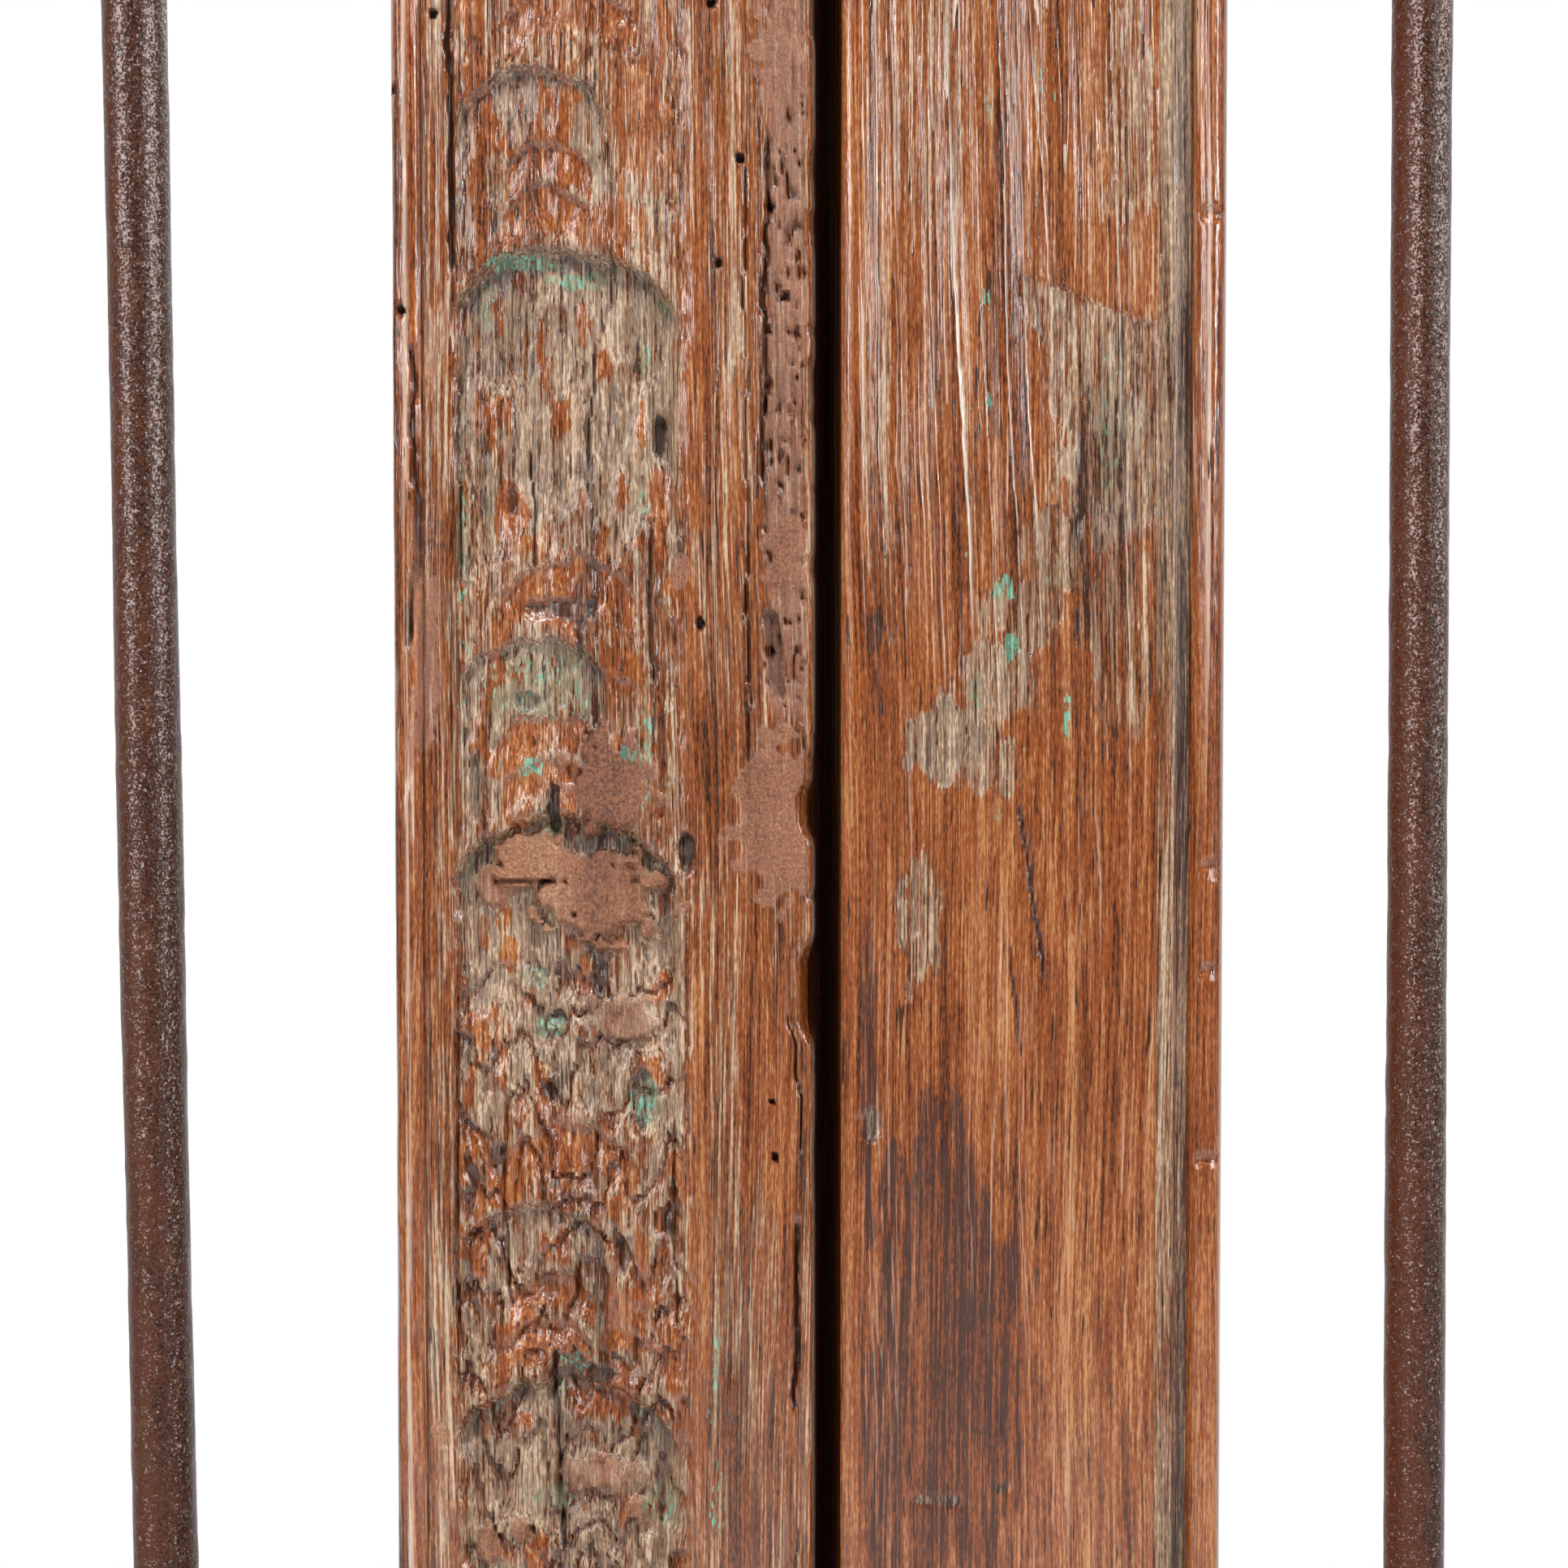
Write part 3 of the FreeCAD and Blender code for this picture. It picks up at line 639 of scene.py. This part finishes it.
# Painted highlight along the crest of the bead near the top, with a band of painted shade beside it.
painted_highlight_phase = 0.04 + (off - bead_radius) / (6 * bead_radius)
painted_bead_glint = in_bead * fade(z, 480, 560)
oiled_low = (0.30 + 0.45 * fade(560 - z, 0, 80)) * (1 - fade(bare, 0.1, 0.5))
cracks = lines(a, z, plain_cracks, 0.5, 102)
in_field = ~(in_band | in_bead)
band_share = (off - 2 * bead_radius) / band_width
sunk = np.where(in_band, band_depth * (1 - 0.5 * fade(band_share, 0.35, 0.5)), moulding_depth(off))
knocks = spots(a, z, plain_knocks, 0.6, 103)
fine_ridges = (patchy(u / 1.7, z / 42, 107, 3) - 0.5) * 0.42
worn_deeper = bare * (0.35 + 1.3 * (patchy(a / 2.2, z / 5, 106, 4) - 0.4)) + 0.35 * patch
sunk_mm = in_field * (ridge_depth + fine_ridges + worn_deeper) + 0.8 * cracks + 0.9 * knocks
sunk_mm = sunk_mm + ~in_field * 0.25 * (patchy(a / 1.5, z / 4, 112, 3) - 0.5)
sunk = np.maximum(sunk + sunk_mm * mm + hand_wear(across, level, 105, 0.3 * mm), 0)
through = np.where(front, through + sunk, through)
slit_side = (a < (meeting_edge + 0.3 * eased_edge) / mm) & ~front
planed_edge = fade(6.5 - (a - meeting_edge / mm), 0, 2)
masks = {
    "bare": np.maximum(bare, in_band * np.where(band_share > 0.45, 1.1, 0.8)) * front,
    # Darker spots and cracks, and painted shade in the deeper half of the sunk band beside the bead.
    "dirt_and_painted_shade": np.maximum.reduce(
        [spots(a, z, plain_grime, 1.3, 108, (1.5, 12.0)), cracks, in_band * fade(0.5 - band_share, 0, 0.1) * 0.45]
    ) * front,
    "paint": spots(a, z, plain_paint, 1.1, 109, (1.0, 3.0)) * front,
    "rubbed": np.maximum.reduce([spots(a, z, plain_rubbed, 0.5, 113, (2.0, 60.0)), planed_edge, in_bead * 1.0, in_field * oiled_low]),
    "filler": np.zeros_like(a),
    "phase": np.where(in_bead, painted_highlight_phase, ridge_phase),
    "ridges_and_painted_glints": in_field * front * top_raised * (0.2 + 1.3 * fade(patchy(u / 6, z / 70, 111, 3), 0.4, 0.62)) + painted_bead_glint,
    "slit": slit_side * fade(through + leaf_half, slit_dark_from, slit_dark_to),
}
plain_wood = worn_wood("plain_stile_wood")
swept_piece(
    "plain_stile",
    np.stack([across, through, level], axis=-1),
    "right_leaf",
    plain_wood,
    ["right_meeting_stile"],
    masks,
)


# The carved meeting stile of the left leaf: a chain of sunk medallions, worn and patched.
# Its meeting edge is rotten and filled, and scales of wood have lifted all over the carving.
carved_wood = worn_wood("carved_stile_wood")
opening = openings["left"]
low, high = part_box("left_meeting_stile")
ring = squared_section(
    meeting_edge, opening.inner, leaf_half, (1.6 * mm, 0, 1.5 * mm, 0.3 * mm), 0.60 * mm, 7 * mm
)
marks = stations_between(low.z, high.z, 6 * mm, [(*photo_window, 0.88 * mm)] + opening.mitre_marks(0.9 * mm))
across, through, level = grid_of(ring, marks)
front = faces_front(through)
a = across / mm
z = level / mm

carving_pitch = 121.5
medallion_heights = [585.0 + carving_pitch * step for step in (2, 1, 0, -1, -2, -3, -4)]
field_low = 30.0
field_high = 80.5


def scoop(across, level, centre, top, half_width, length):
    """A gouge cut, 1 just under its round upper edge and rising slowly back to the face below it."""
    beside = (across - centre) / half_width
    torn_edge = (patchy(across / 3.5, level / 9, 201, 4) - 0.5) * 4.5
    below = top - half_width * 0.8 * (1 - np.sqrt(np.clip(1 - beside**2, 0, 1))) - level + torn_edge
    return fade(below, 0, 2.6) * np.clip(1 - below / length, 0, 1) ** 0.8 * fade(1 - np.abs(beside), 0, 0.12)


dish = np.zeros_like(a)
cuts = np.zeros_like(a)
teeth = np.zeros_like(a)
for height in medallion_heights:
    dish = np.maximum(dish, scoop(a, z, 57.0, height + 30, 26.0, 66))
    cuts = np.maximum(cuts, scoop(a, z, 63.4, height + 68, 16.5, 40))
    teeth = np.maximum(teeth, scoop(a, z, 59.7, height + 52, 10.0, 10))
    teeth = np.maximum(teeth, scoop(a, z, 60.3, height + 42.5, 10.0, 11))
    teeth = np.maximum(teeth, scoop(a, z, 55.0, height - 36, 15.0, 12))
rims = dish**12


def torn_lips(across, level, period, seed):
    """Scales that have lifted: how far on each point is from one torn lip down to the next, from 0 to 1."""
    phase = 3.0 * patchy(across / 6.5, level / 22, seed, 3) - level / period
    phase += 0.16 * patchy(across / 0.9, level / 3, seed + 1, 2)
    return phase - np.floor(phase)


border = 3.6 * (patchy(z / 15, np.zeros_like(z), 229, 4) - 0.5) + 1.6 * (patchy(a / 2, z / 4, 230, 3) - 0.5)
in_carving = fade(a + border, field_low - 1.5, field_low + 2.0) * fade(field_high + 0.5 + border * 0.8 - a, 0, 3.0)
worn_low = fade(478 - z, 0, 30)
lip_share = torn_lips(a, z, 15.0, 203)
torn = (1 - lip_share) ** 1.7 * fade(lip_share, 0, 0.06)
small_share = torn_lips(a + 40, z, 7.0, 205)
small_torn = (1 - small_share) ** 1.5 * fade(small_share, 0, 0.08)
lumps = patchy(a / 4.4, z / 9.5, 204, 3)
slow_lumps = patchy(a / 12, z / 24, 227, 2) - 0.5
fibres = patchy(a / 1.2, z / 16, 206, 3) - 0.5
scales = torn * (0.3 + 1.3 * worn_low) + small_torn * (0.1 + 0.15 * worn_low)

carved_filler = [
    (47, 500, 9, 10, 1.0), (64, 483, 10, 5.5, 1.0), (49, 475, 14, 9, 0.9), (72, 478, 5, 4, 0.6),
    (10, 494, 9.5, 15, 1.0), (8, 548, 5, 9, 0.8), (9, 655, 6, 14, 0.5), (44, 449, 8, 6, 0.45),
    (48, 350, 9, 4, 0.45), (84, 358, 2.5, 3, 0.8), (41, 343, 2.5, 3.2, 0.8), (74, 334, 2.5, 3, 0.8),
    (67, 338, 2.2, 2.4, 0.7), (31, 545, 2.2, 3.4, 0.6), (87, 530, 3.0, 24, 0.45), (86, 590, 2.5, 10, 0.3),
]
carved_pits = [
    (36, 574, 1.5, 5.0, 0.9), (64.5, 517, 3.2, 2.2, 0.6), (59, 494, 1.3, 6.5, 1.0), (39.5, 432, 2.4, 6.0, 0.6),
    (58.5, 449, 2.6, 1.6, 0.7), (60, 433, 1.8, 2.2, 0.7), (30, 485, 1.6, 4.0, 0.8), (57, 537, 8, 2.4, 0.6),
    (49, 458, 1.6, 4.0, 0.5), (64, 478.5, 7.5, 0.6, 0.9), (68, 560, 1.6, 3.0, 0.4), (53, 536, 1.2, 9.0, 0.5),
    (34, 405, 1.6, 4.0, 0.5), (44, 398, 1.5, 5.0, 0.5), (71, 418, 2.0, 4.0, 0.5), (76, 500, 1.2, 7, 0.4),
    (42, 480, 1.4, 3.0, 0.5), (61, 391, 2.4, 2.4, 0.4), (52, 372, 7.0, 2.0, 0.5), (40, 356, 1.4, 3.0, 0.5),
]
worm_holes = [
    (24.5, 665, 0.9, 1.1, 1.0), (18.4, 632, 0.9, 1.0, 1.0), (23, 610.5, 0.8, 0.9, 1.0), (8.7, 603, 0.9, 0.9, 1.0),
    (91.7, 601, 0.9, 1.0, 1.0), (93, 648, 0.8, 0.9, 0.9), (84.6, 664, 0.9, 1.0, 0.9), (27, 534, 0.9, 1.4, 0.9),
    (12, 622, 0.9, 1.0, 0.9), (12.4, 596, 0.7, 0.8, 0.8), (11, 420, 0.8, 0.9, 0.9), (11.5, 432, 0.6, 0.7, 0.8),
]
carved_cracks = [
    (80.8, 606, 81.0, 680, 0.45, 0.9), (79.2, 540, 79.6, 588, 0.3, 0.6), (80.5, 380, 80.0, 430, 0.28, 0.4),
    (88.4, 540, 89.6, 595, 0.45, 1.0), (90.5, 528, 88.2, 556, 0.4, 0.9), (58.6, 349, 59.4, 378, 0.5, 0.9),
    (57.5, 333, 58.8, 350, 0.45, 1.0), (10.4, 518, 11.6, 537, 1.1, 1.0), (6.6, 365, 5.8, 408, 0.4, 0.8),
    (5.0, 420, 6.6, 452, 0.3, 0.7), (13.5, 560, 12.5, 640, 0.35, 0.8), (32, 380, 33, 430, 0.3, 0.6),
    (69, 385, 70, 420, 0.3, 0.6), (16.5, 490, 17.5, 640, 0.25, 0.6), (52, 560, 50, 596, 0.28, 0.6),
    (63, 545, 64, 572, 0.28, 0.7), (46, 600, 46.5, 640, 0.25, 0.5), (37.5, 520, 38, 556, 0.28, 0.7),
]
carved_paint = [
    (66, 611, 9, 1.8, 0.65), (54, 607, 7, 1.8, 0.6), (72, 600, 3, 6, 0.45), (64, 503, 2.6, 2.6, 0.75),
    (42.5, 506, 2.0, 2.4, 0.7), (62, 521, 13, 9, 0.42), (39, 560, 1.8, 3.0, 0.5), (63, 458, 3, 3, 0.5),
    (39.5, 431, 3.5, 6, 0.55), (60, 447, 4, 2.4, 0.6), (39, 506, 2, 10, 0.5), (54, 375, 5, 2.4, 0.6),
    (23, 345, 2.5, 9, 0.45), (36, 344, 4, 5, 0.5), (71, 520, 3, 6, 0.45), (40, 590, 2.4, 6, 0.42),
    (22, 430, 1.6, 40, 0.3), (78.5, 545, 1.6, 40, 0.42), (24, 372, 2.0, 12, 0.5), (60, 345, 6, 3, 0.45),
]
carved_rubbed = [
    (68.5, 557, 4.0, 6.5, 1.0), (58, 537, 6.0, 3.6, 0.8), (43, 524, 3.5, 5.0, 0.8), (69, 463, 1.8, 4.0, 1.0),
    (52, 458, 3.0, 4.0, 0.6), (78, 419, 2.4, 6.0, 0.8), (70, 414, 4.0, 7.0, 0.8), (36, 560, 3.0, 8.0, 0.7),
    (46, 619, 7.0, 5.0, 0.6), (40, 640, 6.0, 12, 0.5), (66, 380, 4.0, 6.0, 0.7), (44, 384, 5.0, 7.0, 0.7),
    (28, 590, 3.0, 40, 0.6), (29, 520, 2.5, 30, 0.5), (27, 400, 2.2, 60, 0.6), (50, 366, 8.0, 4.0, 0.8),
    (20, 560, 3.0, 30, 0.35), (16, 450, 3.0, 40, 0.5), (9, 430, 4.0, 30, 0.7), (88, 480, 2.6, 40, 0.5),
]
filler = spots(a, z, carved_filler, 1.5, 211, (3.2, 3.6))
pits = spots(a, z, carved_pits, 0.9, 212, (1.6, 4.0))
holes = spots(a, z, worm_holes, 0.1, 213)
cracks = lines(a, z, carved_cracks, 1.6, 214)
rubbed = spots(a, z, carved_rubbed, 0.8, 224, (1.8, 6.0))

rot_zone = fade(13.0 - a + (patchy(a / 3, z / 16, 215, 3) - 0.5) * 9, 0, 2.5) * fade(z, 508, 520)
rot_pits = fade(patchy(a / 1.0, z / 3.2, 216, 4), 0.55, 0.70)
edge_gnaw = fade(patchy(z / 7.5, np.zeros_like(z), 217, 4), 0.42, 0.75)
deep_gnaw = np.maximum(fade(8 - np.abs(z - 494), 0, 6), fade(13 - np.abs(z - 456), 0, 8))

off = opening.off(across, level)
in_moulding = off < moulding_width
worn_moulding = moulding_depth(off) * np.where(off < 2 * bead_radius, 0.85, 0.5)
bead_wear = (patchy(a / 2.4, z / 18, 218, 4) - 0.45) * 1.7 * (off < 2.6 * bead_radius)

carved = 0.4 + dish * 3.4 + cuts * 2.0 + teeth * 1.3 + scales + (0.55 - lumps) * 2.2 + slow_lumps * 1.6 + fibres * 0.8
carved = in_carving * np.maximum(carved, 0)
carved_phase = a / 2.6 + 2.2 * patchy(a / 5, z / 70, 219, 3)
plain_ridge = carved_phase - np.floor(carved_phase)
plain_relief = 0.3 * (1 - plain_ridge) * fade(plain_ridge, 0, 0.1) + (patchy(a / 1.5, z / 30, 225, 3) - 0.5) * 0.7
sunk_mm = carved + (1 - in_carving) * plain_relief + bead_wear
sunk_mm = sunk_mm * (1 - filler) + filler * (0.2 + 1.1 * (patchy(a / 5, z / 5, 220, 4) - 0.4))
sunk_mm += rot_zone * (0.5 + 1.2 * rot_pits + 1.2 * fibres) * (1 - filler) + pits * 2.2 + holes * 2.2 + cracks * 1.6
sunk = np.maximum(sunk_mm, 0.0) * mm + worn_moulding
gnaw = (0.7 * edge_gnaw * fade(z, 380, 470) + 2.6 * deep_gnaw) * fade(7.5 - (a - meeting_edge / mm), 0, 7.5)
shallow = np.clip(1 - (through + leaf_half) / (13 * mm), 0, 1)
across = across + gnaw * shallow * mm * (a < 12)
through = np.where(front, through + sunk, through)

speckle = patchy(a / 2.2, z / 7, 221, 4)
high_spots = in_carving * fade(lumps, 0.58, 0.74) * (0.4 + 0.5 * fade(speckle, 0.40, 0.55))
bare = in_carving * (0.5 + 0.75 * fade(dish, 0.0, 0.3) + 0.5 * fade(cuts, 0.1, 0.4) - 1.2 * fade(teeth, 0.1, 0.4) + 0.35 * worn_low - 0.9 * torn * worn_low)
bare = np.clip(bare, 0, 1.3) * (0.6 + 0.4 * fade(speckle, 0.36, 0.52)) * (1 - 0.8 * high_spots)
bare = np.maximum(bare, rot_zone * (1 - rot_pits) * 0.4)
bare = np.maximum(bare, (off > 2 * bead_radius) * in_moulding * 0.45 * fade(speckle, 0.42, 0.62))
bare = np.maximum(bare, spots(a, z, [(22, 560, 6, 60, 0.35), (20, 400, 6, 60, 0.45)], 1.4, 222, (1.5, 12.0)))
# Painted shadows: darker under the upper edges of the medallions, gouge cuts and teeth, and just below the torn lips.
shadowed = in_carving * np.maximum(rims * 0.6, torn**3 * (0.1 + 0.45 * worn_low))
shadowed = np.maximum(shadowed, in_carving * (cuts**14 * 0.6 + teeth**4 * 0.25))
# Darker pits, worm holes, cracks, rot and gnawed meeting edge, together with the painted shadows.
dirt_and_painted_shade = np.maximum.reduce([pits, holes * 1.3, cracks, rot_zone * rot_pits * 0.3, shadowed, edge_gnaw * (a < 5) * 0.5])
traces = rims * fade(patchy(a / 3, z / 3, 226, 3), 0.5, 0.62) * 0.75
on_bead = (off < 2 * bead_radius) * (0.75 + 0.25 * fade(z, 545, 580))
slit_side = (a < meeting_edge / mm + 1.0) & ~front
masks = {
    "bare": bare * (1 - 0.8 * rubbed) * front,
    "dirt_and_painted_shade": dirt_and_painted_shade * front,
    "paint": np.maximum(spots(a, z, carved_paint, 1.3, 223, (1.1, 3.0)), traces) * front,
    "rubbed": np.maximum.reduce([rubbed, high_spots, in_carving * torn**2 * worn_low * 0.5, on_bead, teeth * 0.8]) * front,
    "filler": np.maximum(filler, rot_zone * (1 - rot_pits) * 0.35) * front,
    # On the bead, phase and ridged paint a highlight along its crest with painted shade beside it; in the field they
    # draw fine ridge lines with painted highlights.
    "phase": np.where(off < 2 * bead_radius, 0.04 + (off - bead_radius) / (6 * bead_radius), carved_phase),
    "ridges_and_painted_glints": front * np.where(off < 2 * bead_radius, 0.8, (0.5 - 0.3 * in_carving * worn_low) * fade(patchy(a / 5, z / 30, 228, 3), 0.4, 0.62)),
    "slit": slit_side * fade(through + leaf_half, slit_dark_from, slit_dark_to),
}
swept_piece(
    "carved_stile",
    np.stack([-across, through, level], axis=-1),
    "left_leaf",
    carved_wood,
    ["left_meeting_stile"],
    masks,
)


# The studio: a pale floor under the gate, white beyond it, and narrow soft boxes set high.
# One stands in front on the left, one far to the right, and a wider one hangs overhead.
def soft_box(name, place, aim, width, tall, power):
    lamp = bpy.data.lights.new(name, "AREA")
    lamp.shape = "RECTANGLE"
    lamp.size = width
    lamp.size_y = tall
    lamp.energy = power
    box = bpy.data.objects.new(name, lamp)
    bpy.context.scene.collection.objects.link(box)
    box.location = place
    box.rotation_euler = (Vector(aim) - Vector(place)).to_track_quat("-Z", "Y").to_euler()
    box.visible_camera = False
    return box


gate_middle = (0.0, 0.0, 0.5)
soft_box("front_box", (-1.30, -1.35, 1.15), gate_middle, 0.06, 1.1, 13.0)
soft_box("side_box", (1.65, -0.95, 1.15), gate_middle, 0.06, 1.1, 19.0)
soft_box("top_box", (-0.1, -0.75, 2.0), gate_middle, 0.4, 0.2, 22.0)
soft_box("back_box", (0.4, 1.9, 1.6), gate_middle, 1.2, 0.8, 22.0)

world = bpy.data.worlds.new("white_room")
bpy.context.scene.world = world
world.use_nodes = True
room_light = 0.15


def seen_directly(recipe):
    """1 for what the camera sees straight, in a mirror or through glass."""
    camera_ray, glossy_ray, transmission_ray = [
        recipe.node("ShaderNodeLightPath", {}, output=f"Is {kind} Ray") for kind in ("Camera", "Glossy", "Transmission")
    ]
    return camera_ray, glossy_ray.math("MAXIMUM", glossy_ray, transmission_ray)


room = Recipe(world.node_tree)
heading = room.node("ShaderNodeTexCoord", {}, output=0)
backward = room.node("ShaderNodeSeparateXYZ", {}, {0: heading}, output=1)
camera_ray, mirrored_ray = seen_directly(room)
backdrop = camera_ray.math("MAXIMUM", camera_ray, mirrored_ray * room.fade(backward, -0.2, 0.1))
strength = backdrop * (1 - room_light) + room_light
background = room.node("ShaderNodeBackground", {}, {"Color": (1, 1, 1, 1), "Strength": strength})
room.node("ShaderNodeOutputWorld", {}, {"Surface": background})

floor_reach = 1.6
floor_corners = [(x * floor_reach, y * floor_reach, 0) for x, y in ((-1, -1), (1, -1), (1, 1), (-1, 1))]
floor_mesh = bpy.data.meshes.new("studio_floor")
floor_mesh.from_pydata(floor_corners, [], [(0, 1, 2, 3)])
paving = Finish("studio_floor")
spot = paving.node("ShaderNodeNewGeometry", {}, output=0)
distance = paving.node("ShaderNodeVectorMath", {"operation": "LENGTH"}, {0: spot}, output=1)
matt = paving.node("ShaderNodeBsdfDiffuse", {}, {"Color": (0.86, 0.86, 0.86, 1)})
white = paving.node("ShaderNodeEmission", {}, {"Color": (1, 1, 1, 1), "Strength": 1.0})
camera_ray, mirrored_ray = seen_directly(paving)
share = paving.fade(distance, 0.6, 1.15) * camera_ray.math("MAXIMUM", camera_ray, mirrored_ray)
ground = paving.node("ShaderNodeMixShader", {}, {0: share, 1: matt, 2: white})
paving.node("ShaderNodeOutputMaterial", {}, {"Surface": ground})
floor_mesh.materials.append(paving.material)
studio_floor = bpy.data.objects.new("studio_floor", floor_mesh)
bpy.context.scene.collection.objects.link(studio_floor)

lens_view = bpy.data.cameras.new("photo_view")
lens_view.sensor_width = 36.0
lens_view.lens = 82.9
camera = bpy.data.objects.new("photo_view", lens_view)
bpy.context.scene.collection.objects.link(camera)
camera_place = Vector((0.086, -leaf_half - 0.760, 0.5361))
camera_aim = Vector((-0.0089, -leaf_half, 0.5))
camera.location = camera_place
camera.rotation_euler = (camera_aim - camera_place).to_track_quat("-Z", "Y").to_euler()
bpy.context.scene.camera = camera
bpy.context.scene.view_settings.view_transform = "Standard"

print("triangles", sum(shown_triangles.values()), shown_triangles)
